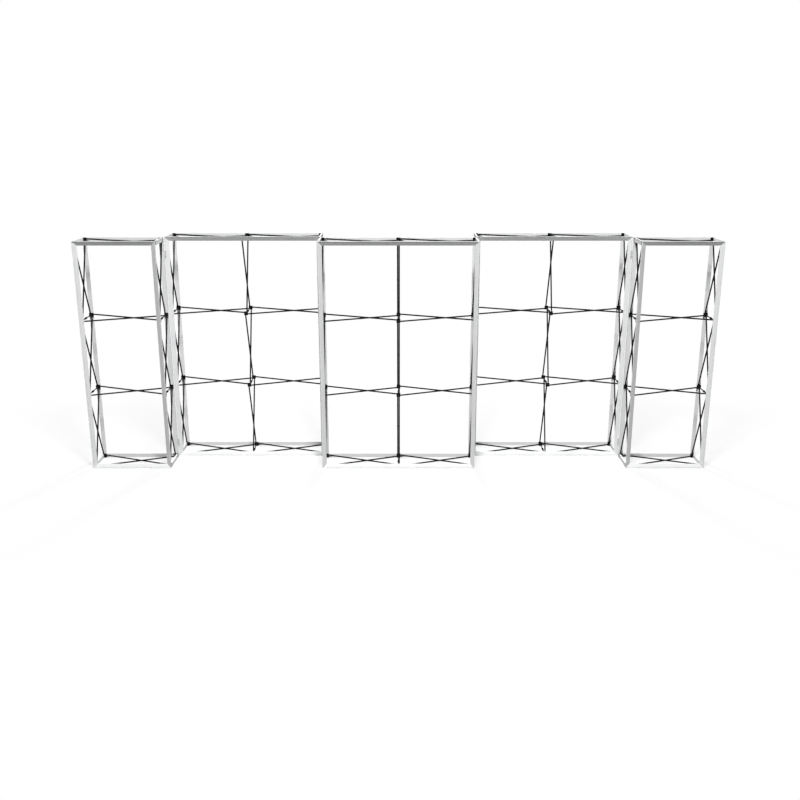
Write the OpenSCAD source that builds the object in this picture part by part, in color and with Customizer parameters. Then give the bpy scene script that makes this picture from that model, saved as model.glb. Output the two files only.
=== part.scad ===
/* [Frames] */
// Hub centre to hub centre, both across and up
bay = 735; // [600:5:900]
// Outer face to outer face of one frame, front to back
frame_depth = 350; // [320:5:420]
// Space between the front row of frames and the back row
row_gap = 15; // [12:1:30]

/* [Channels] */
// Face width of a channel
channel_w = 40; // [38:1:46]
// Depth of a channel behind its face
channel_d = 25; // [22:1:30]
// Flat lip at the outer edge, before the face slopes in
lip_w = 3; // [2:0.5:5]
// Depth left at the inner edge, behind the slope
inner_edge = 5; // [4:0.5:7]
// Wall thickness of the channels and the side bars
channel_wall = 1.2; // [1:0.1:1.6]
// Width of the groove that takes the edge of the fabric
groove_w = 3; // [2.5:0.1:3.5]
// Depth of the fabric groove
groove_d = 5; // [4:0.1:5.2]
// Middle of the fabric groove from the outer edge
groove_in = 8; // [7.6:0.1:9]

/* [Side bars] */
// Thickness of a side bar, across the frame
bar_t = 16; // [12:0.5:20]

/* [Hubs] */
// Thickness of a hub, front to back
hub_t = 21.6; // [20:0.2:26]
// Thickness of the square plate that meets the channel
hub_plate_t = 5; // [4:0.2:5.6]
// Cut across each corner of the plate
plate_chamfer = 3; // [1:0.5:6]
// Pivot pin from the middle of the hub
pivot_in = 16; // [15.5:0.5:20]
// Thickness of one ear of a clevis
ear_t = 2.5; // [2:0.1:3]
// Radius of the round end of an ear
ear_r = 4; // [3.5:0.1:4.5]
// Radius of a pivot pin
pin_r = 2; // [1.5:0.1:2.2]
// Radius of the magnet in the plate of a hub
magnet_r = 7; // [5:0.5:9]
// Thickness of the magnet
magnet_t = 2.5; // [2:0.1:3.5]

/* [Poles] */
// Outer radius of a pole tube
pole_r = 7; // [6:0.1:7.2]
// Wall thickness of a pole tube
pole_wall = 1; // [0.8:0.1:1.5]
// Thickness of the flat tang at the end of a pole
tang_t = 6; // [4:0.1:7]
// Radius of the round end of a tang
tang_r = 3.8; // [3.2:0.1:4]
// Bare stretch of tang between the ears and the collar of the tip
tang_bare = 3.5; // [3:0.1:6]
// Thickness of the collar that caps the tube
collar_t = 1.5; // [1:0.1:3]
// Length of the tip's plug inside the tube
plug_len = 18; // [12:1:30]
// Length of the bush inside a tube where the rivet passes
bush_len = 16; // [10:1:30]
// Radius of the rivet where two poles cross
rivet_r = 2; // [1.5:0.1:2.4]
// Radius of a rivet head
rivet_head_r = 3.6; // [3:0.1:4.5]
// Thickness of a rivet head
rivet_head_t = 1.4; // [1:0.1:2]

/* [Lock struts] */
// Radius of a strut's rod
rod_r = 5; // [4.5:0.1:5.5]
// Radius of the catch pin on the front rod
catch_r = 3.6; // [3:0.1:4]
// Length of the catch pin
catch_len = 26; // [18:1:30]
// Outer radius of the socket on the back rod
socket_r = 10; // [7:0.1:10.2]
// Length of the socket
socket_len = 34; // [32:1:42]
// Middle of the socket in front of the back hubs
socket_at = 166; // [140:1:180]
// Radius of the spigot that holds a rod in its hub
spigot_r = 4; // [3:0.1:4.4]
// Length of the spigot
spigot_len = 9; // [6:0.5:12]

/* [Link clips] */
// Height of a link clip
clip_h = 60; // [40:5:100]
// Middle of a link clip from the top or the bottom of the wall
clip_in = 160; // [120:5:300]

/* [Clearances] */
// Radial clearance of a pole or rivet that turns
running_fit = 0.03; // [0.02:0.01:0.08]
// Radial clearance of a pin, plug, spigot or magnet in its seat
press_gap = 0.02; // [0.02:0.01:0.05]
// Gap between a hub and the channel or side bar that seats on it
seat_gap = 0.2; // [0.1:0.05:0.3]
// Gap between the ends of neighbouring channels
joint_gap = 0.3; // [0.2:0.1:0.8]
// Gap between the curved faces of two crossing poles
pole_gap = 0.4; // [0.3:0.1:1]
// Gap between a tang and the ears on either side
tang_gap = 0.3; // [0.2:0.05:0.5]
// Set-back of a hub from the outer edge of its frame
hub_edge_gap = 0.5; // [0.2:0.1:1]
// Gap between the skirt of a hub and the poles when the frame is folded
skirt_gap = 0.8; // [0.5:0.1:1.2]
// Gap between a tang's end and the core of its hub
core_gap = 2.2; // [1.8:0.1:3]
// Radial clearance of the catch pin in its socket
catch_gap = 0.2; // [0.1:0.05:0.4]
// Clearance of a link clip in its gap and in the grooves
clip_gap = 0.1; // [0.05:0.05:0.3]

/* [Hidden] */
$fn = 48;
// Bays across each frame, from the left, and its row: 0 in front, 1 set back
FRAME_BAYS = [1, 2, 2, 2, 1];
FRAME_ROW = [0, 1, 0, 1, 0];
BAYS_UP = 3;
// The folding frame at the right-hand end of the wall
FOLDING = 4;

frame_h = BAYS_UP * bay + channel_w;
setback = frame_depth + row_gap;
hub_in = channel_w / 2;
hub_y = channel_d + seat_gap + hub_t / 2;
hub_span = frame_depth - 2 * hub_y;
plate_half = hub_in - hub_edge_gap;
core_r = pivot_in - tang_r - core_gap;
offset_r = pole_r + pole_gap / 2;
skirt_in = offset_r + pole_r + skirt_gap;
slot_t = tang_t + 2 * tang_gap;
clevis_t = slot_t + 2 * ear_t;
clevis_half = offset_r + clevis_t / 2;
pole_run = bay - 2 * pivot_in;
pole_len = sqrt(pole_run * pole_run + hub_span * hub_span);
lean = atan2(hub_span, pole_run);
tube_start = ear_r + tang_bare + collar_t;
bar_start = channel_d + hub_t + 2 * seat_gap;
face_slope = (channel_d - inner_edge) / (channel_w - lip_w);
face_groove = (groove_in - lip_w) * face_slope + groove_d;
groove_far = groove_in + groove_w / 2 + channel_wall;
tiny = 0.01;

WALL_FRAMES = [0 : FOLDING - 1];
SIDE_WORDS = ["back", "front"];
COLUMN_WORDS = ["left", "right"];
LEVEL_WORDS = ["bottom", "top"];

function width_of(n) = n * bay + channel_w;
function width_before(f) = f == 0 ? 0 : width_before(f - 1) + width_of(FRAME_BAYS[f - 1]);
wall_w = width_before(FOLDING) + width_of(FRAME_BAYS[FOLDING]);
function frame_x(f) = width_before(f) - wall_w / 2;
function frame_y(f) = FRAME_ROW[f] * setback - (frame_depth + setback) / 2;
function column_x(c) = hub_in + c * bay;
function level_z(k) = hub_in + k * bay;
// Place of a hub in its frame: side 0 is the back, side 1 the front
function hub_at(side, c, k) = [column_x(c), side == 0 ? frame_depth - hub_y : hub_y, level_z(k)];
// The sides of a hub that hold a pole, as angles from +X towards +Z
function clevis_angles(n, c, k) = [
    if (c < n) 0,
    if (k < BAYS_UP) 90,
    if (c > 0) 180,
    if (k > 0) 270
];
// A strut stands at each hub, except at the corners, where a side bar takes its place
function has_strut(n, c, k) = (c > 0 && c < n) || (k > 0 && k < BAYS_UP);

function hub_name(side, c, k) = str("frame5_hub_", SIDE_WORDS[side], "_", COLUMN_WORDS[c], "_", k + 1);
function upright_name(c, k, dir) =
    str("frame5_upright_pole_", COLUMN_WORDS[c], "_", k + 1, "_to_", SIDE_WORDS[dir]);
function cross_name(k, dir) = str("frame5_cross_pole_", k + 1, "_to_", SIDE_WORDS[dir]);
function bar_name(level, c) = str("frame5_side_bar_", LEVEL_WORDS[level], "_", COLUMN_WORDS[c]);

// Puts its children in the place of one frame of the wall
module at_frame(f) {
    translate([frame_x(f), frame_y(f), 0]) children();
}

// Cross-section of a channel, as [depth behind the face, distance in from the outer edge]
module channel_section() {
    wall_rise = channel_wall * sqrt(1 + face_slope * face_slope);
    inner_w = channel_w - channel_wall;
    difference() {
        polygon([
            [0, 0], [0, lip_w], [channel_d - inner_edge, channel_w], [channel_d, channel_w], [channel_d, 0]
        ]);
        polygon([
            [groove_far, channel_wall],
            [groove_far, groove_far],
            [(groove_far - lip_w) * face_slope + wall_rise, groove_far],
            [(inner_w - lip_w) * face_slope + wall_rise, inner_w],
            [channel_d - channel_wall, inner_w],
            [channel_d - channel_wall, channel_wall]
        ]);
        translate([-tiny, groove_in - groove_w / 2]) square([face_groove + tiny, groove_w]);
        translate([groove_in - groove_w / 2, -tiny]) square([groove_w, groove_d + tiny]);
    }
}

// One channel along +X with its outer edge down and its face towards -Y, mitred where asked
module channel_bar(length, mitre_start, mitre_end) {
    start_in = mitre_start ? channel_w : 0;
    end_in = mitre_end ? channel_w : 0;
    cut = joint_gap / 2;
    intersection() {
        rotate([90, 0, 90]) linear_extrude(length) channel_section();
        translate([0, channel_d + 1, 0]) rotate([90, 0, 0]) linear_extrude(channel_d + 2)
            polygon([
                [cut, 0], [length - cut, 0], [length - cut - end_in, channel_w], [cut + start_in, channel_w]
            ]);
    }
}

// A straight run of channels, one bay each, that meet behind the hubs
module channel_run(n) {
    for (i = [0 : n - 1]) {
        start = i == 0 ? 0 : column_x(i);
        end = i == n - 1 ? width_of(n) : column_x(i + 1);
        translate([start, 0, 0]) channel_bar(end - start, i == 0, i == n - 1);
    }
}

// The four runs of channels round one face of a frame
module channel_ring(n) {
    channel_run(n);
    translate([0, 0, frame_h]) mirror([0, 0, 1]) channel_run(n);
    mirror([1, 0, -1]) channel_run(BAYS_UP);
    translate([width_of(n), 0, 0]) mirror([1, 0, 0]) mirror([1, 0, -1]) channel_run(BAYS_UP);
}

module front_channels(f) {
    color("gainsboro") at_frame(f) channel_ring(FRAME_BAYS[f]);
}

module back_channels(f) {
    color("gainsboro") at_frame(f)
        translate([0, frame_depth, 0]) mirror([0, 1, 0]) channel_ring(FRAME_BAYS[f]);
}

module frame_channels(f) {
    front_channels(f);
    back_channels(f);
}

// Extrudes a drawing on X and Z along Y, from one depth to another
module along_y(from, to) {
    translate([0, to, 0]) rotate([90, 0, 0]) linear_extrude(to - from) children();
}

// A side bar in the bottom left corner: a hollow bar between two hubs, as tall as a channel is wide
module side_bar() {
    inner_t = bar_t - channel_wall;
    inner_h = channel_w - channel_wall;
    groove_back = groove_d + channel_wall;
    difference() {
        along_y(bar_start, frame_depth - bar_start) square([bar_t, channel_w]);
        along_y(bar_start - 1, frame_depth - bar_start + 1) polygon([
            [groove_back, channel_wall],
            [inner_t, channel_wall],
            [inner_t, inner_h],
            [channel_wall, inner_h],
            [channel_wall, groove_far],
            [groove_back, groove_far]
        ]);
        along_y(bar_start - 1, frame_depth - bar_start + 1)
            translate([-tiny, groove_in - groove_w / 2]) square([groove_d + tiny, groove_w]);
    }
}

// Puts a side bar in a corner of a frame that is n bays wide
module corner_bar(n, level, c) {
    translate([c * width_of(n), 0, level * frame_h]) mirror([c, 0, 0]) mirror([0, 0, level]) side_bar();
}

module frame5_side_bar(level, c) {
    color("silver") at_frame(FOLDING) corner_bar(FRAME_BAYS[FOLDING], level, c);
}

module wall_side_bars() {
    color("silver") for (f = WALL_FRAMES, level = [0, 1], c = [0, 1])
        at_frame(f) corner_bar(FRAME_BAYS[f], level, c);
}

// One ear of a clevis towards +X: a post on the hub plate, round at the pin
module ear() {
    linear_extrude(ear_t) {
        translate([pivot_in, 0]) circle(ear_r);
        translate([pivot_in - ear_r, 0]) square([2 * ear_r, hub_t / 2 - tiny]);
    }
}

// The two ears of a clevis towards +X, with the pin's axis along Z
module clevis() {
    translate([0, 0, offset_r + slot_t / 2]) ear();
    translate([0, 0, offset_r - clevis_t / 2]) ear();
}

// A round bar on the pin's axis of a clevis towards +X, as long as the clevis and a little past it
module clevis_pin(r, past) {
    translate([pivot_in, 0, offset_r - clevis_t / 2 - past]) cylinder(r = r, h = clevis_t + 2 * past);
}

// Outline of a hub: a square with its corners cut
module hub_square() {
    intersection() {
        square(2 * plate_half, center = true);
        rotate(45) square(sqrt(2) * (2 * plate_half - plate_chamfer), center = true);
    }
}

// Outline of a hub's plate: the square, and a wide arm under each clevis
module hub_plate(angles) {
    hub_square();
    for (a = angles) rotate(a)
        translate([0, -clevis_half]) square([pivot_in + ear_r, 2 * clevis_half]);
}

// Outline of a hub's skirt: a wall along each side that has no clevis
module hub_skirt(angles) {
    for (a = [0 : 90 : 270]) if (len([for (b = angles) if (b == a) b]) == 0)
        intersection() {
            hub_square();
            rotate(a) translate([skirt_in, -plate_half]) square([plate_half, 2 * plate_half]);
        }
}

// A hub at its own middle, with the plate towards +Y and a clevis at each angle
module hub_body(angles, strut) {
    difference() {
        union() {
            along_y(hub_t / 2 - hub_plate_t, hub_t / 2) hub_plate(angles);
            along_y(-hub_t / 2, hub_t / 2) hub_skirt(angles);
            along_y(-hub_t / 2, hub_t / 2) circle(core_r);
            for (a = angles) rotate([0, -a, 0]) clevis();
        }
        for (a = angles) rotate([0, -a, 0]) clevis_pin(pin_r + press_gap, tang_gap);
        along_y(hub_t / 2 - magnet_t, hub_t / 2 + 1) circle(magnet_r + press_gap);
        if (strut) along_y(-hub_t / 2 - 1, spigot_len - hub_t / 2 + press_gap) circle(spigot_r + press_gap);
    }
}

module hub_pins(angles) {
    for (a = angles) rotate([0, -a, 0]) clevis_pin(pin_r, 0);
}

module hub_magnet() {
    along_y(hub_t / 2 - magnet_t + press_gap, hub_t / 2) circle(magnet_r);
}

// Back half of a lock strut: a rod with a socket, on the middle of a back hub
module strut_back() {
    socket_back = -(socket_at - socket_len / 2);
    socket_front = -(socket_at + socket_len / 2);
    difference() {
        union() {
            along_y(-hub_t / 2 - press_gap, spigot_len - hub_t / 2) circle(spigot_r);
            along_y(socket_back - 1, -hub_t / 2 - press_gap) circle(rod_r);
            along_y(socket_front, socket_back) circle(socket_r);
        }
        along_y(socket_front - 1, socket_front + catch_len + catch_gap) circle(catch_r + catch_gap);
    }
}

// Front half of a lock strut: a rod with a catch pin, on the middle of a front hub
module strut_front() {
    rod_end = -(hub_span - socket_at - socket_len / 2 - 2 * catch_gap);
    union() {
        along_y(-hub_t / 2 - press_gap, spigot_len - hub_t / 2) circle(spigot_r);
        along_y(rod_end, -hub_t / 2 - press_gap) circle(rod_r);
        along_y(rod_end - catch_len, rod_end + 1) circle(catch_r);
    }
}

// Puts its children at a hub's place, turned half round for the front of the frame
module at_hub(side, c, k) {
    translate(hub_at(side, c, k)) rotate([0, 0, 180 * side]) children();
}

// A hub's angles as it sees them itself, once it is turned to its side of the frame
function own_angles(n, side, c, k) = [
    for (a = clevis_angles(n, c, k)) side == 1 && (a == 0 || a == 180) ? 180 - a : a
];

// One hub of the folding frame, with its pins, its magnet and its half of the lock strut
module frame5_hub(side, c, k) {
    n = FRAME_BAYS[FOLDING];
    angles = own_angles(n, side, c, k);
    strut = has_strut(n, c, k);
    color("black") at_frame(FOLDING) at_hub(side, c, k) {
        hub_body(angles, strut);
        hub_pins(angles);
        hub_magnet();
        if (strut && side == 0) strut_back();
        if (strut && side == 1) strut_front();
    }
}

module frame_hubs(f) {
    n = FRAME_BAYS[f];
    color("black") at_frame(f) for (side = [0, 1], c = [0 : n], k = [0 : BAYS_UP])
        at_hub(side, c, k) hub_body(own_angles(n, side, c, k), has_strut(n, c, k));
}

module wall_pivot_pins() {
    color("dimgray") for (f = WALL_FRAMES) at_frame(f)
        for (side = [0, 1], c = [0 : FRAME_BAYS[f]], k = [0 : BAYS_UP])
            at_hub(side, c, k) hub_pins(own_angles(FRAME_BAYS[f], side, c, k));
}

module wall_hub_magnets() {
    color("gray") for (f = WALL_FRAMES) at_frame(f)
        for (side = [0, 1], c = [0 : FRAME_BAYS[f]], k = [0 : BAYS_UP]) at_hub(side, c, k) hub_magnet();
}

module wall_lock_struts() {
    color("black") for (f = WALL_FRAMES) at_frame(f) for (c = [0 : FRAME_BAYS[f]], k = [0 : BAYS_UP])
        if (has_strut(FRAME_BAYS[f], c, k)) {
            at_hub(0, c, k) strut_back();
            at_hub(1, c, k) strut_front();
        }
}

// The moulded tip at the start of a pole along +X, with its pivot at the origin and the pin along Z
module pole_tip() {
    difference() {
        union() {
            translate([0, 0, -tang_t / 2]) linear_extrude(tang_t) {
                circle(tang_r);
                translate([0, -tang_r]) square([tube_start - press_gap, 2 * tang_r]);
            }
            translate([tube_start - collar_t, 0, 0]) rotate([0, 90, 0])
                cylinder(r = pole_r, h = collar_t - press_gap);
            translate([tube_start - collar_t, 0, 0]) rotate([0, 90, 0])
                cylinder(r = pole_r - pole_wall - press_gap, h = collar_t + plug_len);
        }
        translate([0, 0, -pole_r]) cylinder(r = pin_r + running_fit, h = 2 * pole_r);
    }
}

// A pole along +X from pivot to pivot: a tube with a tip at each end, and a bush in the middle for the rivet
module pole() {
    bore_len = (pole_len - bush_len) / 2 - tube_start;
    difference() {
        translate([tube_start, 0, 0]) rotate([0, 90, 0]) cylinder(r = pole_r, h = pole_len - 2 * tube_start);
        for (from = [tube_start - 1, (pole_len + bush_len) / 2])
            translate([from, 0, 0]) rotate([0, 90, 0]) cylinder(r = pole_r - pole_wall, h = bore_len + 1);
        translate([pole_len / 2, 0, -pole_r - 1]) cylinder(r = rivet_r + running_fit, h = 2 * pole_r + 2);
    }
    pole_tip();
    translate([pole_len, 0, 0]) mirror([1, 0, 0]) pole_tip();
}

// The rivet in the middle of a pole, through that pole and the one that crosses it on its -Z side
module crossing_rivet() {
    reach = pole_r + 2 * press_gap;
    translate([pole_len / 2, 0, -2 * offset_r - reach]) {
        cylinder(r = rivet_r, h = 2 * offset_r + 2 * reach);
        translate([0, 0, -rivet_head_t]) cylinder(r = rivet_head_r, h = rivet_head_t);
        translate([0, 0, 2 * offset_r + 2 * reach]) cylinder(r = rivet_head_r, h = rivet_head_t);
    }
}

// Puts a pole between two columns at one level: direction 1 goes right and forwards, 0 right and back
module at_cross(c, k, dir) {
    start = hub_at(1 - dir, c, k);
    translate(start + [pivot_in, 0, dir == 1 ? offset_r : -offset_r])
        rotate([0, 0, dir == 1 ? -lean : lean]) children();
}

// Puts a pole between two levels of one column: direction 1 goes up and forwards, 0 up and back
module at_upright(c, k, dir) {
    start = hub_at(1 - dir, c, k);
    translate(start + [dir == 1 ? -offset_r : offset_r, 0, pivot_in])
        rotate([dir == 1 ? lean : -lean, 0, 0]) rotate([0, -90, 0]) children();
}

module frame_poles(f) {
    n = FRAME_BAYS[f];
    color("#1c1c1e") at_frame(f) for (dir = [0, 1]) {
        for (c = [0 : n - 1], k = [0 : BAYS_UP]) at_cross(c, k, dir) pole();
        for (c = [0 : n], k = [0 : BAYS_UP - 1]) at_upright(c, k, dir) pole();
    }
}

module wall_crossing_rivets() {
    color("dimgray") for (f = WALL_FRAMES) at_frame(f) {
        for (c = [0 : FRAME_BAYS[f] - 1], k = [0 : BAYS_UP]) at_cross(c, k, 1) crossing_rivet();
        for (c = [0 : FRAME_BAYS[f]], k = [0 : BAYS_UP - 1]) at_upright(c, k, 1) crossing_rivet();
    }
}

// A pole of the folding frame, with the rivet on the one of each pair that goes forwards
module frame5_cross_pole(k, dir) {
    color("#1c1c1e") at_frame(FOLDING) at_cross(0, k, dir) {
        pole();
        if (dir == 1) crossing_rivet();
    }
}

module frame5_upright_pole(c, k, dir) {
    color("#1c1c1e") at_frame(FOLDING) at_upright(c, k, dir) {
        pole();
        if (dir == 1) crossing_rivet();
    }
}

// A clip between two frames that meet corner to corner, with a tongue in a groove of each
module link_clip() {
    half_gap = row_gap / 2 - clip_gap;
    tongue = groove_w / 2 - clip_gap;
    reach = row_gap / 2 + face_groove - clip_gap;
    linear_extrude(clip_h) {
        square([2 * groove_far, 2 * half_gap], center = true);
        translate([-groove_in - tongue, -reach]) square([2 * tongue, reach]);
        translate([groove_in - tongue, 0]) square([2 * tongue, reach]);
    }
}

module link_clips() {
    color("lightgray") for (f = [1 : FOLDING], z = [clip_in, frame_h - clip_in])
        translate([frame_x(f), 0, z - clip_h / 2]) mirror([FRAME_ROW[f] == 0 ? 1 : 0, 0, 0]) link_clip();
}

for (f = WALL_FRAMES) {
    frame_channels(f);
    frame_hubs(f);
    frame_poles(f);
}
wall_side_bars();
wall_lock_struts();
wall_pivot_pins();
wall_crossing_rivets();
wall_hub_magnets();
link_clips();
front_channels(FOLDING);  // frame5_front_channels
back_channels(FOLDING);  // frame5_back_channels
for (level = [0, 1], c = [0, 1])
    frame5_side_bar(level, c);
for (side = [0, 1], c = [0, 1], k = [0 : BAYS_UP])
    frame5_hub(side, c, k);
for (c = [0, 1], k = [0 : BAYS_UP - 1], dir = [0, 1])
    frame5_upright_pole(c, k, dir);
for (k = [0 : BAYS_UP], dir = [0, 1])
    frame5_cross_pole(k, dir);
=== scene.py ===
"""Dresses a five-frame pop-up display wall: channels, side bars, hubs, poles, lock struts and clips."""

import math

import bmesh
import bpy
from bpy.props import FloatProperty, FloatVectorProperty, IntProperty, PointerProperty
from mathutils import Matrix, Vector


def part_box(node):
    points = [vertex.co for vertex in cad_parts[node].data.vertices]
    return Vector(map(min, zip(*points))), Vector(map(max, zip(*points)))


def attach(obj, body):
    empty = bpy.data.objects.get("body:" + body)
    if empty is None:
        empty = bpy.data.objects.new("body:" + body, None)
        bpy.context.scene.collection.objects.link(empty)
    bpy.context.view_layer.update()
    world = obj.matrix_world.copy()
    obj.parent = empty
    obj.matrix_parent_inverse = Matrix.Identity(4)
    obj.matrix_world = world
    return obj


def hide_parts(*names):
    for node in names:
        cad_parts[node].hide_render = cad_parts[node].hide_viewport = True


bl_info = {
    "name": "Pop-up Display Wall",
    "version": (1, 0, 0),
    "blender": (4, 5, 0),
    "location": "3D View > Sidebar > Display Wall",
    "description": "Models and finishes the pieces of a folding display wall around its packed frame",
    "category": "Object",
}

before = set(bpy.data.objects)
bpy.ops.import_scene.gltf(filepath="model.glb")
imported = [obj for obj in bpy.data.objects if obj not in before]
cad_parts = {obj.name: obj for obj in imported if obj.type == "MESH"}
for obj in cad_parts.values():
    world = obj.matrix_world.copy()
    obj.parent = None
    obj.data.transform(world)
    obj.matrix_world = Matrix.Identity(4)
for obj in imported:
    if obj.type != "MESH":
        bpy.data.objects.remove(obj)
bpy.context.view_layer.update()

# Layout of the wall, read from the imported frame
FOLDING = 5
BAYS_UP = 3
BAR_LOW, BAR_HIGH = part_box("frame5_side_bar_bottom_left")
RING_LOW, RING_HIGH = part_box("frame5_back_channels")
HUB_LOW, HUB_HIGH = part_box("frame5_hub_back_left_1")
POLE_LOW, POLE_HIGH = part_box("frame5_cross_pole_1_to_back")
CHANNEL_WIDTH = BAR_HIGH.z - BAR_LOW.z
BAR_THICKNESS = BAR_HIGH.x - BAR_LOW.x
BAR_LENGTH = BAR_HIGH.y - BAR_LOW.y
CHANNEL_DEPTH = RING_HIGH.y - RING_LOW.y
WALL_HEIGHT = RING_HIGH.z
BAY = (WALL_HEIGHT - CHANNEL_WIDTH) / BAYS_UP
FRAME_DEPTH = RING_HIGH.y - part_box("frame5_front_channels")[0].y
HUB_DEPTH = HUB_HIGH.y - HUB_LOW.y
HUB_IN = CHANNEL_WIDTH / 2
HUB_FROM_BACK = RING_HIGH.y - (HUB_LOW.y + HUB_HIGH.y) / 2
HUB_SPAN = FRAME_DEPTH - 2 * HUB_FROM_BACK
SEAT_GAP = HUB_FROM_BACK - HUB_DEPTH / 2 - CHANNEL_DEPTH
PLATE_HALF = BAR_LOW.x + HUB_IN - HUB_LOW.x
POLE_RADIUS = (POLE_HIGH.z - POLE_LOW.z) / 2
POLE_OFFSET = HUB_IN - (POLE_LOW.z + POLE_HIGH.z) / 2
SIDES = ("back", "front")
COLUMNS = ("left", "right")
LEVELS = ("bottom", "top")

# How far a cutter reaches past what it cuts, and how far a shell reaches into the one it grows from
PAST = 0.01
INTO = 0.001
# Two places that are closer than this are the same
SAME_PLACE = 0.0001
# Share of a tab's half width that rounds its end, so that the two roundings don't quite meet
NEARLY_ALL = 0.98
# Degrees above which a bar's edges are rounded and shaded sharp, both below the slope of a channel's face
BAR_EDGE_ANGLE = 20
BAR_SHADE_ANGLE = 12
# Degrees above which a moulding's edges are rounded, which leaves the facets of its round parts alone
MOULD_EDGE_ANGLE = 50

X_AXIS = Vector((1, 0, 0))
Y_AXIS = Vector((0, 1, 0))
Z_AXIS = Vector((0, 0, 1))
FLIP_X, FLIP_Y, FLIP_Z = (Matrix.Scale(-1, 4, axis) for axis in (X_AXIS, Y_AXIS, Z_AXIS))
SWAP_X_AND_Z = Matrix(((0, 0, 1, 0), (0, 1, 0, 0), (1, 0, 0, 0), (0, 0, 0, 1)))


class WallFrame:
    """One frame of the wall: its number, its lowest front left corner and how many bays wide it is."""

    def __init__(self, number):
        names = [f"frame{number}_channels"]
        if number == FOLDING:
            names = ["frame5_front_channels", "frame5_back_channels"]
        lows, highs = zip(*[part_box(name) for name in names])
        self.number = number
        self.corner = Vector((lows[0].x, min(low.y for low in lows), 0))
        self.width = highs[0].x - lows[0].x
        self.bays = round((self.width - CHANNEL_WIDTH) / BAY)

    def hub(self, side, c, k):
        """Middle of a hub: side 0 is the back of the frame, side 1 the front."""
        y = HUB_FROM_BACK if side else FRAME_DEPTH - HUB_FROM_BACK
        return self.corner + Vector((HUB_IN + c * BAY, y, HUB_IN + k * BAY))

    def directions(self, side, c, k):
        """The ways that poles leave a hub, as the hub sees them, in degrees from +X towards +Z."""
        right, left = (180, 0) if side else (0, 180)
        ways = {right: c < self.bays, 90: k < BAYS_UP, left: c > 0, 270: k > 0}
        return sorted(way for way in ways if ways[way])

    def has_strut(self, c, k):
        return 0 < c < self.bays or 0 < k < BAYS_UP


FRAMES = [WallFrame(number) for number in range(1, FOLDING + 1)]
FOLDING_FRAME = FRAMES[-1]


# Settings that a user would change

def metres(name, description, default):
    return FloatProperty(name=name, description=description, default=default, unit="LENGTH")


def number(name, description, default, subtype="NONE"):
    return FloatProperty(name=name, description=description, default=default, subtype=subtype)


def tint(name, description, default):
    return FloatVectorProperty(name=name, description=description, default=default, subtype="COLOR")


class ChannelSettings(bpy.types.PropertyGroup):
    """Sizes of the channels and side bars."""

    lip: metres("Lip", "Flat lip at the outer edge", 0.003)
    inner_edge: metres("Inner edge", "Depth left at the inner edge", 0.005)
    groove_width: metres("Groove width", "Width of the fabric groove", 0.003)
    groove_depth: metres("Groove depth", "Depth of the fabric groove", 0.005)
    groove_in: metres("Groove inset", "Middle of the groove from the outer edge", 0.008)
    wall: metres("Wall", "Wall thickness of the bars", 0.0012)
    joint_gap: metres("Joint gap", "Gap between neighbouring bars", 0.0003)
    edge: metres("Edge radius", "Rounding of the extruded edges", 0.0004)


class HubSettings(bpy.types.PropertyGroup):
    """Sizes of the hubs and their pins."""

    half: metres("Plate half", "Half the plate's width", PLATE_HALF)
    plate: metres("Plate", "Thickness of the plate", 0.005)
    corner: metres("Corner", "Rounding of the hub's corners", 0.003)
    skirt: metres("Skirt", "Inner face of the skirt from the middle of the hub", 0.015)
    rim: metres("Rim", "Width of the rim round the plate", 0.0024)
    sunk: metres("Sunk", "How far the plate lies below its rim", 0.0014)
    magnet: metres("Magnet", "Radius of the magnet", 0.007)
    magnet_depth: metres("Magnet depth", "Thickness of the magnet", 0.0025)
    core: metres("Core radius", "Radius of the core", 0.010)
    pivot_in: metres("Pivot", "Pivot pin from the middle of the hub", 0.016)
    ear: metres("Ear", "Thickness of one ear", 0.0025)
    ear_radius: metres("Ear radius", "Radius of an ear's round end", 0.004)
    slot: metres("Slot", "Width between the two ears", 0.0066)
    rib: metres("Rib", "Thickness of a stiffening rib", 0.0018)
    pin: metres("Pin", "Radius of a pivot pin", 0.002)
    pin_head: metres("Pin head", "Height of a pin's domed head", 0.0007)


class PoleSettings(bpy.types.PropertyGroup):
    """Sizes of the poles, their tips and the rivets where they cross."""

    radius: metres("Radius", "Radius of the tube", POLE_RADIUS)
    sides: IntProperty(name="Sides", description="Faces around a tube", default=20, min=12, max=48)
    offset: metres("Offset", "Middle of a pole from the middle of its hubs", POLE_OFFSET)
    tube_start: metres("Tube start", "End of the tube from the pivot", 0.009)
    tang: metres("Tang", "Thickness of the tip's tang", 0.006)
    tang_radius: metres("Tang radius", "Radius of the tang's round end", 0.0038)
    collar: metres("Collar", "Thickness of the tip's collar", 0.0015)
    crimp_depth: metres("Crimp depth", "How far a crimp ring is pressed in", 0.0005)
    rivet: metres("Rivet", "Radius of a rivet's shank", 0.002)
    rivet_head: metres("Rivet head", "Radius of a rivet's head", 0.0036)
    rivet_rise: metres("Rivet rise", "Height of a rivet's domed head", 0.0014)


class StrutSettings(bpy.types.PropertyGroup):
    """Sizes of the lock struts."""

    rod: metres("Rod", "Radius of the rods", 0.005)
    socket: metres("Socket", "Outer radius of the socket", 0.010)
    socket_length: metres("Socket length", "Length of the socket", 0.034)
    socket_at: metres("Socket place", "Middle of the socket from the back hub", 0.166)
    catch: metres("Catch", "Radius of the catch pin", 0.0036)
    catch_length: metres("Catch length", "Length of the catch pin", 0.026)
    catch_gap: metres("Catch gap", "Clearance of the catch pin", 0.0002)


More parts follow.
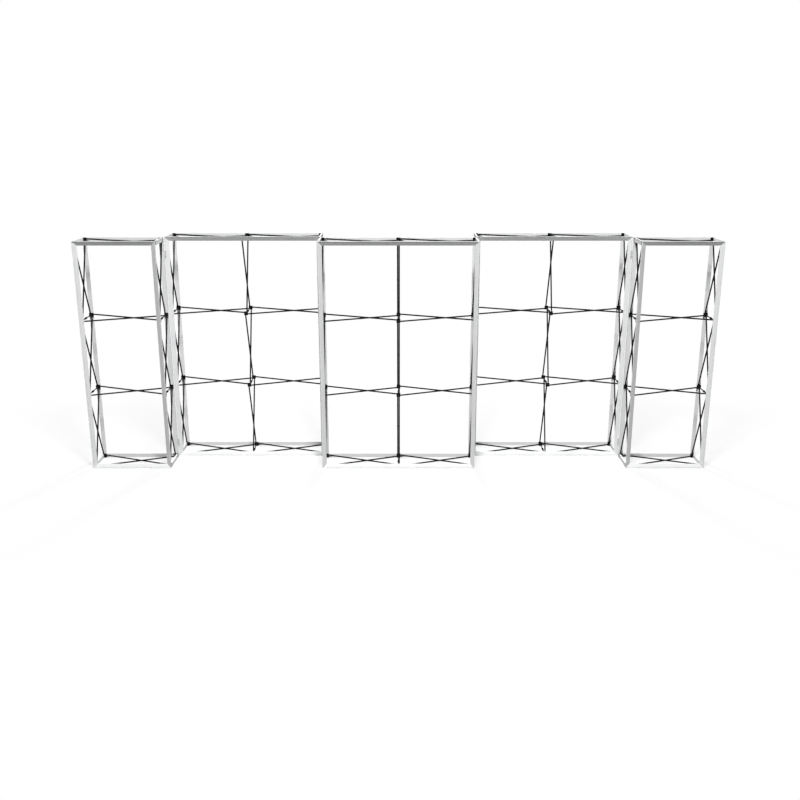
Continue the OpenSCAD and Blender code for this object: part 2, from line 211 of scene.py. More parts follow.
class FinishSettings(bpy.types.PropertyGroup):
    """Colours of the finishes."""

    aluminium: tint("Aluminium", "Satin anodised channels", (0.80, 0.805, 0.81))
    nylon: tint("Nylon", "Moulded hubs, tips and struts", (0.006, 0.006, 0.0065))
    tube: tint("Tube", "Black anodised poles", (0.005, 0.005, 0.0055))
    clip: tint("Clip", "Link clips", (0.5, 0.5, 0.49))
    magnet: tint("Magnet", "Coated magnets", (0.012, 0.012, 0.012))
    steel: tint("Steel", "Pins and rivets", (0.10, 0.10, 0.105))


class StageSettings(bpy.types.PropertyGroup):
    """The floor, the lights and the camera."""

    camera_side: metres("Camera side", "Camera to the right of the middle", 0.0151)
    camera_back: metres("Camera distance", "Camera in front of the middle", 9.144)
    camera_height: metres("Camera height", "Camera above the floor", 3.331)
    camera_pitch: number("Camera pitch", "How far the camera looks down", math.radians(16.608), "ANGLE")
    lens: number("Lens", "Focal length in millimetres", 42.326)
    key_power: number("Key light", "Power of the key light", 900, "POWER")
    key_height: metres("Key height", "Height of the key light", 7.8)
    key_front: metres("Key distance", "Key light in front of the wall", 4.6)
    lamp_size: metres("Lamp size", "Width of both lights", 1.6)
    back_power: number("Back light", "Power of the back light", 600, "POWER")
    back_height: metres("Back height", "Height of the back light", 6.0)
    back_behind: metres("Back distance", "Back light behind the wall", 6.5)
    sky: number("Sky", "Strength of the light from all round", 0.07)
    floor_grey: number("Floor", "Share of the floor's tone that shadows take", 0.15)
    floor_bounce: number("Bounce", "Share of the light that the floor throws back", 0.06)
    near: metres("Near", "Half width of the floor that shows shadows", 4.5)


# Modelling helpers

def deselect_all():
    for piece in bpy.context.selected_objects:
        piece.select_set(False)


def make_active(piece):
    deselect_all()
    piece.select_set(True)
    bpy.context.view_layer.objects.active = piece


def settle(name):
    """Names the newest primitive, and puts its place, turn and size into its mesh."""
    piece = bpy.context.object
    piece.name = name
    make_active(piece)
    bpy.ops.object.transform_apply(location=True, rotation=True, scale=True)
    return piece


def new_block(name, low, high):
    """A box from one corner to the other, to be shaped further."""
    low, high = Vector(low), Vector(high)
    deselect_all()
    bpy.ops.mesh.primitive_cube_add(size=1, location=(low + high) / 2)
    bpy.context.object.scale = high - low
    return settle(name)


def new_rod(name, radius, start, end, sides=24):
    """A round bar from one point to another, to be shaped further."""
    start, end = Vector(start), Vector(end)
    along = end - start
    deselect_all()
    bpy.ops.mesh.primitive_cylinder_add(
        vertices=sides,
        radius=radius,
        depth=along.length,
        location=(start + end) / 2,
        rotation=along.to_track_quat("Z", "Y").to_euler(),
    )
    return settle(name)


def open_mesh(piece):
    make_active(piece)
    bpy.ops.object.mode_set(mode="EDIT")


def close_mesh():
    bpy.ops.object.mode_set(mode="OBJECT")


def pick(piece, kind, wanted):
    """Selects the points, edges or faces (VERT, EDGE or FACE) that pass a test, and nothing else."""
    bpy.ops.mesh.select_mode(type=kind)
    bpy.ops.mesh.select_all(action="DESELECT")
    mesh = bmesh.from_edit_mesh(piece.data)
    for part in {"VERT": mesh.verts, "EDGE": mesh.edges, "FACE": mesh.faces}[kind]:
        part.select_set(wanted(part))
    if kind == "VERT":
        mesh.select_flush_mode()
    bmesh.update_edit_mesh(piece.data)


def score(point, normal, **cut):
    """Cuts a ring of edges round the piece that is open for editing, and as a rule takes nothing away."""
    bpy.ops.mesh.select_mode(type="VERT")
    bpy.ops.mesh.select_all(action="SELECT")
    bpy.ops.mesh.bisect(plane_co=point, plane_no=normal, **cut)


def saw(piece, point, normal):
    """Cuts away what lies beyond a plane, and closes the cut."""
    open_mesh(piece)
    score(point, normal, use_fill=True, clear_outer=True)
    close_mesh()


def step_end(piece, margin, shift):
    """Insets the end towards -Y, and moves what is inside the margin along Y: a dish, a bore or a pin."""
    open_mesh(piece)
    pick(piece, "FACE", lambda face: face.normal.y < -0.9)
    bpy.ops.mesh.inset(thickness=margin)
    bpy.ops.mesh.extrude_region_move(TRANSFORM_OT_translate={"value": (0, shift, 0)})
    close_mesh()


def press_rings(piece, axis, places, width, keep, bore=0.0):
    """Presses rings into a round bar. The middle one of three scored rings is drawn in, outside the bore."""
    along = (X_AXIS, Y_AXIS)[axis]
    size = [1 if i == axis else keep for i in range(3)]
    open_mesh(piece)
    for place in places:
        for shift in (-width, 0, width):
            score(along * (place + shift), along)
        pick(
            piece,
            "VERT",
            lambda point: abs(point.co[axis] - place) < width / 4
            and (point.co - along * point.co[axis]).length > bore,
        )
        bpy.ops.transform.resize(value=size, center_override=along * place)
    close_mesh()


def round_edges(piece, wanted, radius, segments):
    """Rounds only the edges that pass a test on their two ends."""
    open_mesh(piece)
    pick(piece, "EDGE", lambda edge: wanted(edge.verts[0].co, edge.verts[1].co))
    bpy.ops.mesh.bevel(offset=radius, segments=segments, affect="EDGES")
    close_mesh()


def soften(piece, width, segments=2, angle=35, edge_slot=-1):
    """Rounds every edge sharper than an angle. The new faces may take a material slot of their own."""
    make_active(piece)
    bevel = piece.modifiers.new("soft edges", "BEVEL")
    bevel.width = width
    bevel.segments = segments
    bevel.limit_method = "ANGLE"
    bevel.angle_limit = math.radians(angle)
    bevel.material = edge_slot
    bpy.ops.object.modifier_apply(modifier=bevel.name)


def round_tab(name, low, high, radius, end):
    """A flat tab in the XY plane with a round end, at its -X end for 0 and at its -Y end for 1."""
    across = 1 - end
    tab = new_block(name, low, high)
    round_edges(
        tab,
        lambda a, b: a[end] < 0 and b[end] < 0 and abs(a[across] - b[across]) < SAME_PLACE,
        radius * NEARLY_ALL,
        segments=4,
    )
    soften(tab, width=0.0004, segments=1)
    return tab


def carve(piece, *others):
    """Cuts closed pieces out of a closed piece, and removes them."""
    for other in others:
        make_active(piece)
        boolean = piece.modifiers.new("carve", "BOOLEAN")
        boolean.operation = "DIFFERENCE"
        boolean.solver = "EXACT"
        boolean.object = other
        bpy.ops.object.modifier_apply(modifier=boolean.name)
        if not piece.data.polygons:
            raise RuntimeError(f"nothing is left of {piece.name} after {other.name} was cut out")
        bpy.data.objects.remove(other)


def run_grain(piece, along=X_AXIS):
    """Gives the piece a UV map in metres: U runs along the piece and V goes round it."""
    grain = piece.data.uv_layers.new(name="grain")
    across = Y_AXIS if along is X_AXIS else X_AXIS
    skew = 1.618
    for loop in piece.data.loops:
        point = piece.data.vertices[loop.vertex_index].co
        grain.data[loop.index].uv = (point.dot(along), point.dot(across) + skew * point.z)


def shade(piece, angle):
    """Shades the piece smooth, but for edges sharper than an angle."""
    make_active(piece)
    bpy.ops.object.shade_smooth_by_angle(angle=math.radians(angle))


def dress(piece, *finishes, smooth=None):
    """Fills the material slots with finishes by name, and may shade the piece smooth up to an angle."""
    piece.data.materials.clear()
    for name in finishes:
        piece.data.materials.append(finish_named(name))
    if smooth:
        shade(piece, smooth)


def join(parts, name):
    make_active(parts[0])
    for part in parts:
        part.select_set(True)
    if len(parts) > 1:
        bpy.ops.object.join()
    piece = bpy.context.view_layer.objects.active
    piece.name = name
    piece.data.name = name
    return piece


def lay_out(name, placed):
    """Copies each template to its place and joins the copies. placed pairs templates with places."""
    copies = []
    for template, place in placed:
        mesh = template.data.copy()
        mesh.transform(place)
        if place.determinant() < 0:
            mesh.flip_normals()
        copy = bpy.data.objects.new(f"{name}_copy", mesh)
        bpy.context.scene.collection.objects.link(copy)
        copies.append(copy)
    return join(copies, name)


def put_away(*templates):
    for template in templates:
        bpy.data.objects.remove(template)


def stand_in(node, ending, placed, body="wall"):
    """Lays out the piece shown in place of a node. It rides on a body and keeps the finishes of its
    templates.
    """
    piece = lay_out(f"{node}_{ending}", placed)
    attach(piece, body)
    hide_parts(node)


# Finishes

class NodeMaker:
    """Adds nodes to a material's or the world's node tree, and feeds their inputs."""

    def __init__(self, tree):
        self.tree = tree

    def feed(self, socket, value):
        """Links an input to another node's output, or sets its own value."""
        if isinstance(value, bpy.types.NodeSocket):
            self.tree.links.new(value, socket)
        else:
            socket.default_value = value

    def add(self, kind, inputs, **settings):
        node = self.tree.nodes.new(f"ShaderNode{kind}")
        for name, value in settings.items():
            setattr(node, name, value)
        for name, value in inputs.items():
            self.feed(node.inputs[name], value)
        return node

    def combine(self, first, second, operation="ADD"):
        return self.add("Math", {0: first, 1: second}, operation=operation).outputs["Value"]


class Finish(NodeMaker):
    """A material in the making: its shader and the textures that drive it."""

    def __init__(self, name, colour, metallic, roughness, specular=0.5):
        self.material = bpy.data.materials.new(name)
        self.material.use_nodes = True
        self.material.diffuse_color = (*colour, 1)
        self.colour = colour
        super().__init__(self.material.node_tree)
        self.shader = self.tree.nodes["Principled BSDF"]
        self.drive("Base Color", (*colour, 1))
        self.drive("Metallic", metallic)
        self.drive("Roughness", roughness)
        self.drive("Specular IOR Level", specular)
        self.places = self.add("TexCoord", {})

    def drive(self, socket, value):
        self.feed(self.shader.inputs[socket], value)

    def texture(self, kind, scale, **inputs):
        """A pattern at one scale all round, or at a pair of scales along and across the piece's grain."""
        on_grain = isinstance(scale, tuple)
        source = self.places.outputs["UV" if on_grain else "Object"]
        stretch = (*scale, 1) if on_grain else (1, 1, 1)
        place = self.add("Mapping", {"Vector": source, "Scale": stretch}).outputs["Vector"]
        return self.add(kind, {"Vector": place, "Scale": 1 if on_grain else scale, **inputs})

    def noise(self, scale, detail=3, roughness=0.55):
        return self.texture("TexNoise", scale, Detail=detail, Roughness=roughness).outputs["Fac"]

    def remap(self, value, low, high, to_low=0, to_high=1):
        limits = {"From Min": low, "From Max": high, "To Min": to_low, "To Max": to_high}
        return self.add("MapRange", {"Value": value, **limits}).outputs["Result"]

    def vary_colour(self, amount, dark, bright):
        """Blends from a dark to a bright share of the finish's colour, by an amount from 0 to 1."""
        first, second = ((*scaled(self.colour, share), 1) for share in (dark, bright))
        mix = self.add("Mix", {"A": first, "B": second, "Factor": amount}, data_type="RGBA")
        self.drive("Base Color", mix.outputs["Result"])

    def relief(self, height, depth):
        """Raises and sinks the surface by a height map, depth being its full height in metres."""
        bump = self.add("Bump", {"Height": height, "Strength": 1.0, "Distance": depth})
        self.drive("Normal", bump.outputs["Normal"])


def scaled(colour, factor):
    return tuple(min(1, channel * factor) for channel in colour)


def satin_aluminium(name, colour, roughness):
    """Anodised extrusion: fine die lines, a few long scratches and faint clouding from handling."""
    finish = Finish(name, colour, metallic=0.02, roughness=roughness, specular=0.1)
    die_lines = finish.noise((1.4, 900), detail=4, roughness=0.7)
    bands = finish.noise((0.5, 120), detail=2)
    cloud = finish.noise(6.0, detail=4)
    cells = finish.texture("TexVoronoi", (9, 420)).outputs["Distance"]
    scratch = finish.remap(cells, 0.02, 0.07, 1, 0)
    grain = finish.remap(die_lines, 0.35, 0.65, 0, 0.6)
    tone = finish.combine(grain, finish.remap(cloud, 0.3, 0.7, 0, 0.4))
    finish.vary_colour(tone, 0.92, 1.06)
    rough = finish.combine(
        finish.remap(die_lines, 0.3, 0.7, roughness - 0.06, roughness + 0.07),
        finish.remap(cloud, 0.35, 0.7, -0.04, 0.06),
    )
    finish.drive("Roughness", finish.combine(rough, finish.combine(scratch, 0.12, "MULTIPLY")))
    height = finish.combine(finish.combine(die_lines, bands), finish.combine(scratch, -0.8, "MULTIPLY"))
    finish.relief(height, 0.00002)


def polished_edge(name, colour):
    """The edges of an extrusion, where handling has rubbed the satin bright."""
    finish = Finish(name, colour, metallic=0.15, roughness=0.38, specular=0.3)
    rub = finish.noise(40, detail=4)
    finish.vary_colour(finish.remap(rub, 0.35, 0.65), 1, 1.1)
    finish.drive("Roughness", finish.remap(rub, 0.3, 0.7, 0.32, 0.44))


def black_tube(name, colour):
    """Black anodised tube: drawn lines along it, and a little dust in the satin."""
    finish = Finish(name, colour, metallic=0.0, roughness=0.5, specular=0.08)
    lines = finish.noise((1.2, 1400))
    dust = finish.noise(22, detail=5)
    tone = finish.combine(finish.remap(lines, 0.35, 0.65, 0, 0.5), finish.remap(dust, 0.5, 0.75, 0, 0.5))
    finish.vary_colour(tone, 0.7, 2.0)
    finish.drive("Roughness", finish.remap(lines, 0.3, 0.7, 0.44, 0.56))
    finish.relief(lines, 0.00002)


def moulded_nylon(name, colour):
    """Glass-filled nylon: fine spark-eroded grain, pale scuffs and slightly shiny rubbed patches."""
    finish = Finish(name, colour, metallic=0.0, roughness=0.55, specular=0.1)
    grain = finish.noise(2600, detail=2)
    scuffs = finish.noise(160, detail=6, roughness=0.7)
    finish.vary_colour(finish.remap(scuffs, 0.6, 0.75), 1, 3.0)
    finish.drive("Roughness", finish.remap(scuffs, 0.35, 0.7, 0.62, 0.44))
    finish.relief(grain, 0.00006)


def turned_steel(name, colour):
    """Blackened steel pins and rivets with faint turning marks."""
    finish = Finish(name, colour, metallic=1.0, roughness=0.34)
    marks = finish.noise(1500)
    wear = finish.noise(300)
    finish.vary_colour(finish.remap(wear, 0.4, 0.65), 0.6, 1)
    finish.drive("Roughness", finish.remap(marks, 0.3, 0.7, 0.26, 0.44))
    finish.relief(marks, 0.00001)


def finish_named(name):
    """A finish by name, made the first time that a piece asks for it."""
    if name in bpy.data.materials:
        return bpy.data.materials[name]
    colours = bpy.context.scene.wall_finishes
    recipes = {
        "satin_aluminium": (satin_aluminium, colours.aluminium, 1, 0.45),
        "bar_aluminium": (satin_aluminium, colours.aluminium, 0.88, 0.48),
        "polished_edge": (polished_edge, colours.aluminium, 1),
        "black_tube": (black_tube, colours.tube, 1),
        "hub_nylon": (moulded_nylon, colours.nylon, 1),
        "strut_nylon": (moulded_nylon, colours.nylon, 0.8),
        "clip_nylon": (moulded_nylon, colours.clip, 1),
        "coated_magnet": (moulded_nylon, colours.magnet, 1),
        "turned_steel": (turned_steel, colours.steel, 1),
    }
    maker, colour, brightness, *rest = recipes[name]
    maker(name, scaled(colour, brightness), *rest)
    return bpy.data.materials[name]


# Channels and side bars

def channel_template(length, mitre_start, mitre_end):
    """A channel along +X, its outer edge down and its face towards -Y, mitred where it meets a corner."""
    sizes = bpy.context.scene.wall_channels
    cut = sizes.joint_gap / 2
    bar = new_block("channel_template", (0, 0, 0), (length, CHANNEL_DEPTH, CHANNEL_WIDTH))
    rise = CHANNEL_DEPTH - sizes.inner_edge
    run = CHANNEL_WIDTH - sizes.lip
    saw(bar, (0, 0, sizes.lip), (0, -run, rise))
    low = sizes.groove_in - sizes.groove_width / 2
    high = sizes.groove_in + sizes.groove_width / 2
    face_depth = (sizes.groove_in - sizes.lip) * rise / run + sizes.groove_depth
    carve(
        bar,
        new_block("face_groove", (-PAST, -PAST, low), (length + PAST, face_depth, high)),
        new_block("side_groove", (-PAST, low, -PAST), (length + PAST, high, sizes.groove_depth)),
    )
    saw(bar, (cut, 0, 0), (-1, 0, 1 if mitre_start else 0))
    saw(bar, (length - cut, 0, 0), (1, 0, 1 if mitre_end else 0))
    dress(bar, "satin_aluminium", "polished_edge")
    soften(bar, sizes.edge, angle=BAR_EDGE_ANGLE, edge_slot=1)
    shade(bar, BAR_SHADE_ANGLE)
    run_grain(bar)
    return bar


def run_of_channels(bays, templates):
    """Templates and places of one straight run, one channel to a bay."""
    if bays == 1:
        return [(templates["both"], Matrix.Identity(4))]
    far_end = Matrix.Translation((bays * BAY + CHANNEL_WIDTH, 0, 0)) @ FLIP_X
    middle = [
        (templates["middle"], Matrix.Translation((HUB_IN + i * BAY, 0, 0)))
        for i in range(1, bays - 1)
    ]
    return [(templates["end"], Matrix.Identity(4)), *middle, (templates["end"], far_end)]


def ring_of_channels(wall_frame, back, templates):
    """Templates and places of the four runs round one face of a frame."""
    across = run_of_channels(wall_frame.bays, templates)
    upright = run_of_channels(BAYS_UP, templates)
    ring = [
        (Matrix.Identity(4), across),
        (Matrix.Translation((0, 0, WALL_HEIGHT)) @ FLIP_Z, across),
        (SWAP_X_AND_Z, upright),
        (Matrix.Translation((wall_frame.width, 0, 0)) @ FLIP_X @ SWAP_X_AND_Z, upright),
    ]
    face = Matrix.Translation(wall_frame.corner)
    if back:
        face = face @ Matrix.Translation((0, FRAME_DEPTH, 0)) @ FLIP_Y
    return [(template, face @ side @ place) for side, run in ring for template, place in run]


def side_bar_template():
    """A side bar in the bottom left corner: a hollow bar between two hubs, grooved on its outer side."""
    sizes = bpy.context.scene.wall_channels
    start = CHANNEL_DEPTH + HUB_DEPTH + 2 * SEAT_GAP
    end = start + BAR_LENGTH
    wall, half = sizes.wall, sizes.groove_width / 2
    bar = new_block("side_bar_template", (0, start, 0), (BAR_THICKNESS, end, CHANNEL_WIDTH))
    hollow = new_block(
        "bar_hollow",
        (sizes.groove_depth + wall, start - PAST, wall),
        (BAR_THICKNESS - wall, end + PAST, CHANNEL_WIDTH - wall),
    )
    groove = new_block(
        "bar_groove",
        (-PAST, 0, sizes.groove_in - half),
        (sizes.groove_depth, FRAME_DEPTH, sizes.groove_in + half),
    )
    carve(bar, hollow, groove)
    dress(bar, "bar_aluminium", "polished_edge")
    soften(bar, sizes.edge, edge_slot=1)
    shade(bar, BAR_SHADE_ANGLE)
    run_grain(bar, along=Y_AXIS)
    return bar


def corner_place(wall_frame, level, c):
    place = Matrix.Translation(wall_frame.corner + Vector((c * wall_frame.width, 0, level * WALL_HEIGHT)))
    if c:
        place = place @ FLIP_X
    if level:
        place = place @ FLIP_Z
    return place


class WALL_OT_channels(bpy.types.Operator):
    """Model the extruded channels round the front and the back of every frame"""

    bl_idname = "wall.channels"
    bl_label = "Channels"

    def execute(self, context):
        templates = {
            "both": channel_template(BAY + CHANNEL_WIDTH, True, True),
            "end": channel_template(BAY + HUB_IN, True, False),
            "middle": channel_template(BAY, False, False),
        }
        for wall_frame in FRAMES[:-1]:
            rings = [ring_of_channels(wall_frame, back, templates) for back in (False, True)]
            stand_in(f"frame{wall_frame.number}_channels", "extruded", sum(rings, []))
        for back, body in ((False, "frame5_front_channels"), (True, "wall")):
            ring = ring_of_channels(FOLDING_FRAME, back, templates)
            stand_in(f"frame5_{SIDES[1 - back]}_channels", "extruded", ring, body)
        put_away(*templates.values())
        return {"FINISHED"}


class WALL_OT_side_bars(bpy.types.Operator):
    """Model the side bars that join the front and back channels at the corners"""

    bl_idname = "wall.side_bars"
    bl_label = "Side bars"

    def execute(self, context):
        template = side_bar_template()
        corners = [(level, c) for level in (0, 1) for c in (0, 1)]
        placed = [
            (template, corner_place(wall_frame, level, c))
            for wall_frame in FRAMES[:-1]
            for level, c in corners
        ]
        stand_in("wall_side_bars", "extruded", placed)
        for level, c in corners:
            node = f"frame5_side_bar_{LEVELS[level]}_{COLUMNS[c]}"
            placed = [(template, corner_place(FOLDING_FRAME, level, c))]
            stand_in(node, "extruded", placed, node)
        put_away(template)
        return {"FINISHED"}


# Hubs

def turned(way):
    """A turn about a hub's own Y axis, which takes +X to a way in degrees from +X towards +Z."""
    return Matrix.Rotation(-math.radians(way), 4, "Y")


def soften_moulding(piece):
    soften(piece, width=0.0005, segments=1, angle=MOULD_EDGE_ANGLE)


def ear_template(lateral):
    """One ear of a clevis towards +X, from a distance along the pin's axis."""
    hub = bpy.context.scene.wall_hubs
    low = (hub.pivot_in - hub.ear_radius, -hub.ear_radius, lateral)
    high = (hub.pivot_in + hub.ear_radius, HUB_DEPTH / 2 - INTO, lateral + hub.ear)
    return round_tab("ear", low, high, hub.ear_radius, end=1)


def hub_plate():
    """The square plate of a hub, towards +Y: sunk inside a rim on its inner face, with a magnet's seat."""
    hub = bpy.context.scene.wall_hubs
    outer_face = HUB_DEPTH / 2
    low = (-hub.half, outer_face - hub.plate, -hub.half)
    plate = new_block("plate", low, (hub.half, outer_face, hub.half))
    round_edges(plate, lambda a, b: abs(a.y - b.y) > hub.plate / 2, hub.corner, segments=4)
    step_end(plate, hub.rim, hub.sunk)
    soften_moulding(plate)
    seat_floor = outer_face - hub.magnet_depth
    seat_radius = hub.magnet + 0.0001
    carve(plate, new_rod("magnet_seat", seat_radius, (0, seat_floor, 0), (0, outer_face + INTO, 0)))
    return plate


def hub_skirt(ways):
    """The wall along each side of a hub that no pole leaves, just inside the outline of the plate."""
    hub = bpy.context.scene.wall_hubs
    half = hub.half - 0.0003
    plate_floor = HUB_DEPTH / 2 - hub.plate + hub.sunk
    reach = {way: half + PAST if way in ways else hub.skirt for way in (0, 90, 180, 270)}
    wall = new_block("skirt", (-half, -HUB_DEPTH / 2, -half), (half, plate_floor, half))
    round_edges(wall, lambda a, b: abs(a.y - b.y) > HUB_DEPTH / 2, hub.corner, segments=4)
    inside_low = (-reach[180], -HUB_DEPTH, -reach[270])
    carve(wall, new_block("skirt_inside", inside_low, (reach[0], HUB_DEPTH, reach[90])))
    soften_moulding(wall)
    return wall


def hub_core(strut):
    """The round core of a hub, with a dished end that takes the rod of a lock strut."""
    hub = bpy.context.scene.wall_hubs
    plate_floor = HUB_DEPTH / 2 - hub.plate + hub.sunk
    rod_gap, plain_share, dish_depth = 0.0006, 0.68, 0.0025
    dish = bpy.context.scene.wall_struts.rod + rod_gap if strut else hub.core * plain_share
    core = new_rod("core", hub.core, (0, plate_floor + INTO, 0), (0, -HUB_DEPTH / 2, 0), sides=28)
    step_end(core, hub.core - dish, dish_depth)
    soften_moulding(core)
    return core


def hub_rib(diagonal):
    """A web from the core to a corner of the plate, sloping down to the corner."""
    hub = bpy.context.scene.wall_hubs
    plate_face = HUB_DEPTH / 2 - hub.plate
    corner_share, slope = 1.12, 1.1
    reach = hub.half * corner_share
    high = (reach, plate_face + hub.sunk + INTO, hub.rib / 2)
    rib = new_block("rib", (hub.core - INTO, 0, -hub.rib / 2), high)
    saw(rib, (reach, plate_face, 0), (1, -slope, 0))
    rib.data.transform(turned(diagonal))
    return rib


def clevis_parts(way):
    """The arm of the plate and the two ears that hold the end of a pole, turned the way it leaves."""
    hub = bpy.context.scene.wall_hubs
    offset = bpy.context.scene.wall_poles.offset
    half_clevis = hub.slot / 2 + hub.ear
    plate_face = HUB_DEPTH / 2 - hub.plate
    reach = hub.pivot_in + hub.ear_radius
    # The arm lies this far inside the faces of the plate and the ears
    inside = 0.0002
    arm = new_block(
        "arm",
        (hub.core, plate_face + inside, -offset - half_clevis + inside),
        (reach - inside, HUB_DEPTH / 2 - inside, offset + half_clevis - inside),
    )
    soften(arm, width=0.0006, segments=1)
    parts = [arm, ear_template(offset + hub.slot / 2), ear_template(offset - half_clevis)]
    for part in parts:
        part.data.transform(turned(way))
    return parts


def hub_template(ways, strut):
    """A hub at its own middle, its plate towards +Y, with a clevis for each way that a pole leaves it."""
    parts = [hub_plate(), hub_core(strut)]
    if len(ways) < 4:
        parts.append(hub_skirt(ways))
    for way in ways:
        parts += clevis_parts(way)
    parts += [hub_rib(diagonal) for diagonal in (45, 135, 225, 315)]
    hub = join(parts, "hub_template")
    dress(hub, "hub_nylon", smooth=35)
    return hub


def magnet_template():
    """The coated disc magnet in the plate of a hub."""
    hub = bpy.context.scene.wall_hubs
    face = HUB_DEPTH / 2
    magnet = new_rod("magnet_template", hub.magnet, (0, face - hub.magnet_depth, 0), (0, face, 0))
    soften(magnet, width=0.0003, segments=1, angle=MOULD_EDGE_ANGLE)
    dress(magnet, "coated_magnet", smooth=40)
    return magnet


def pin_template():
    """A pivot pin of a clevis towards +X, with a domed head on its outer end."""
    hub = bpy.context.scene.wall_hubs
    offset = bpy.context.scene.wall_poles.offset
    half_clevis = hub.slot / 2 + hub.ear
    low, high = offset - half_clevis, offset + half_clevis
    top = high + hub.pin_head
    overhang, facet, dome_share = 0.0008, 0.0003, 0.7
    pin = new_rod("pin_template", hub.pin, (hub.pivot_in, 0, low), (hub.pivot_in, 0, top), sides=12)
    open_mesh(pin)
    score((0, 0, high), Z_AXIS)
    pick(pin, "FACE", lambda face: face.calc_center_median().z > high and abs(face.normal.z) < 0.1)
    bpy.ops.mesh.extrude_region_shrink_fatten(TRANSFORM_OT_shrink_fatten={"value": overhang})
    close_mesh()
    round_edges(
        pin,
        lambda a, b: min(a.z, b.z) > high + hub.pin_head / 2 and (a - b).length > facet,
        hub.pin_head * dome_share,
        segments=1,
    )
    dress(pin, "turned_steel", smooth=50)
    return pin


def hub_place(wall_frame, side, c, k):
    return Matrix.Translation(wall_frame.hub(side, c, k)) @ Matrix.Rotation(math.pi * side, 4, "Z")


def hub_grid(wall_frame):
    return [
        (side, c, k)
        for side in (0, 1)
        for c in range(wall_frame.bays + 1)
        for k in range(BAYS_UP + 1)
    ]


class WALL_OT_hubs(bpy.types.Operator):
    """Model the moulded hubs with their clevises and pivot pins"""

    bl_idname = "wall.hubs"
    bl_label = "Hubs"

    def execute(self, context):
        templates = {}
        struts = [bpy.data.objects[f"strut_{side}_template"] for side in SIDES]
        pin = pin_template()
        magnet = magnet_template()

        def hub_and_pins(wall_frame, side, c, k):
            """Template and place of one hub, and of each of its pivot pins."""
            place = hub_place(wall_frame, side, c, k)
            ways = tuple(wall_frame.directions(side, c, k))
            key = (ways, wall_frame.has_strut(c, k))
            if key not in templates:
                templates[key] = hub_template(*key)
            return (templates[key], place), [(pin, place @ turned(way)) for way in ways]

        pins = []
        magnets = []
        for wall_frame in FRAMES[:-1]:
            placed = []
            for at in hub_grid(wall_frame):
                hub, hub_pins = hub_and_pins(wall_frame, *at)
                placed.append(hub)
                magnets.append((magnet, hub[1]))
                pins += hub_pins
            stand_in(f"frame{wall_frame.number}_hubs", "moulded", placed)
        stand_in("wall_pivot_pins", "turned", pins)
        stand_in("wall_hub_magnets", "coated", magnets)
        for side, c, k in hub_grid(FOLDING_FRAME):
            node = f"frame5_hub_{SIDES[side]}_{COLUMNS[c]}_{k + 1}"
            body = "wall" if node == "frame5_hub_back_left_1" else node
            hub, hub_pins = hub_and_pins(FOLDING_FRAME, side, c, k)
            placed = [hub, (magnet, hub[1]), *hub_pins]
            if FOLDING_FRAME.has_strut(c, k):
                placed.append((struts[side], hub[1]))
            stand_in(node, "moulded", placed, body)
        put_away(pin, magnet, *struts, *templates.values())
        return {"FINISHED"}


# Lock struts

def strut_rod(name, end):
    """The rod of one half, from a little way inside its hub to an end along Y."""
    root = -HUB_DEPTH / 2 + 0.002
    return new_rod(name, bpy.context.scene.wall_struts.rod, (0, root, 0), (0, end, 0), sides=20)


def strut_back_template():
    """Back half of a lock strut: a rod and the socket that takes the catch, with four grip rings."""
    strut = bpy.context.scene.wall_struts
    near = -(strut.socket_at - strut.socket_length / 2)
    far = -(strut.socket_at + strut.socket_length / 2)
    rod = strut_rod("rod", near - INTO)
    socket = new_rod("socket", strut.socket, (0, near, 0), (0, far, 0), sides=28)
    step_end(socket, strut.socket - strut.catch - strut.catch_gap, strut.catch_length + strut.catch_gap)
    soften(socket, width=0.0012, angle=MOULD_EDGE_ANGLE)
    first_grip, grip_pitch = near - 0.009, 0.0052
    grips = [first_grip - grip_pitch * i for i in range(4)]
    press_rings(socket, axis=1, places=grips, width=0.0014, keep=0.91, bore=0.006)
    half = join([rod, socket], "strut_back_template")
    dress(half, "strut_nylon", smooth=40)
    return half


def strut_front_template():
    """Front half of a lock strut: a rod and the catch pin on its end."""
    strut = bpy.context.scene.wall_struts
    end = -(HUB_SPAN - strut.socket_at - strut.socket_length / 2 - 2 * strut.catch_gap)
    rod = strut_rod("strut_front_template", end)
    step_end(rod, strut.rod - strut.catch, -strut.catch_length)
    soften(rod, width=0.0009, angle=MOULD_EDGE_ANGLE)
    dress(rod, "strut_nylon", smooth=40)
    return rod


class WALL_OT_lock_struts(bpy.types.Operator):
    """Model the lock struts that hold each frame open"""

    bl_idname = "wall.lock_struts"
    bl_label = "Lock struts"

    def execute(self, context):
        halves = (strut_back_template(), strut_front_template())
        placed = [
            (halves[side], hub_place(wall_frame, side, c, k))
            for wall_frame in FRAMES[:-1]
            for side, c, k in hub_grid(wall_frame)
            if wall_frame.has_strut(c, k)
        ]
        stand_in("wall_lock_struts", "moulded", placed)
        return {"FINISHED"}


# Poles and rivets

def pole_span():
    """Length of a pole from pivot to pivot, and how far it leans out of the plane of its hubs."""
    run = BAY - 2 * bpy.context.scene.wall_hubs.pivot_in
    return math.hypot(run, HUB_SPAN), math.atan2(HUB_SPAN, run)


